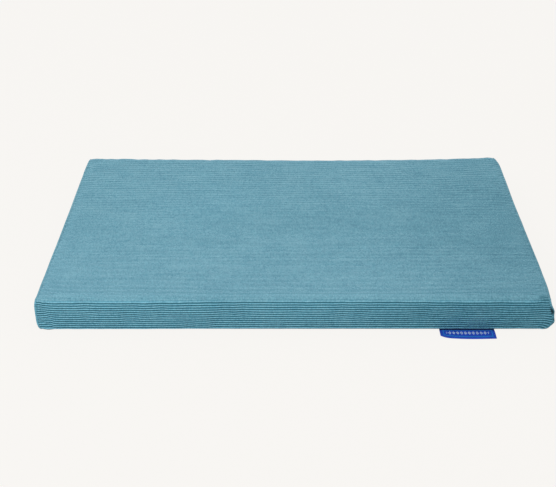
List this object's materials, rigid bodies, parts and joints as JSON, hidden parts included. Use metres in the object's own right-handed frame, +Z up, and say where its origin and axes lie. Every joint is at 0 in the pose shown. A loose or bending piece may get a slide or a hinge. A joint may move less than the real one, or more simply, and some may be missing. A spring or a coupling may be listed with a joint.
{
  "type": "kneeling pad",
  "caption": "Rectangular foam kneeling mat in a zip-off ribbed corduroy cover with boxed ends, a grip base and a folded woven tab in the front seam.",
  "frame": {"origin": "centre of the pad's footprint, on the ground", "axes": "+X along the long side, to the right of someone facing the tab; +Y from the tab side towards the zip side; +Z up out of the kneeling surface"},
  "size_m": [0.6, 0.4263, 0.04],
  "materials": {
    "corduroy": "matte",
    "grip_base": "matte",
    "foam": "matte",
    "thread": "matte",
    "zip_tape": "matte",
    "zip_coil": "satin",
    "zip_metal": "satin",
    "woven_tab": "satin"
  },
  "bodies": {
    "pad": {"foam_core": "foam", "main_panel": "corduroy", "back_strip": "corduroy", "end_panel_left": "corduroy", "end_panel_right": "corduroy", "base_panel": "grip_base", "seam_thread_left": "thread", "seam_thread_right": "thread", "seam_thread_base": "thread", "zip_tape_upper": "zip_tape", "zip_tape_lower": "zip_tape", "zip_coil_upper": "zip_coil", "zip_coil_lower": "zip_coil", "zip_top_stop_upper": "zip_metal", "zip_top_stop_lower": "zip_metal", "zip_bottom_stop": "zip_metal", "zip_stitch_upper": "thread", "zip_stitch_lower": "thread", "bar_tack_left": "thread", "bar_tack_right": "thread"},
    "slider": {"zip_slider": "zip_metal"},
    "pull": {"zip_pull": "zip_metal"},
    "label": {"woven_tab": "woven_tab"}
  },
  "joints": [
    {"name": "zip_slide", "type": "slide", "parent": "pad", "child": "slider", "axis": [1, 0, 0], "range_m": [0, 0.48]},
    {"name": "pull_swing", "type": "hinge", "parent": "slider", "child": "pull", "pos_m": [-0.242, 0.2031, 0.018], "axis": [0, 0, -1], "range_deg": [0, 180]},
    {"name": "label_flex", "type": "hinge", "parent": "pad", "child": "label", "pos_m": [0.2052, -0.2008, 0.00065], "axis": [-1, 0, 0], "range_deg": [0, 70]}
  ]
}
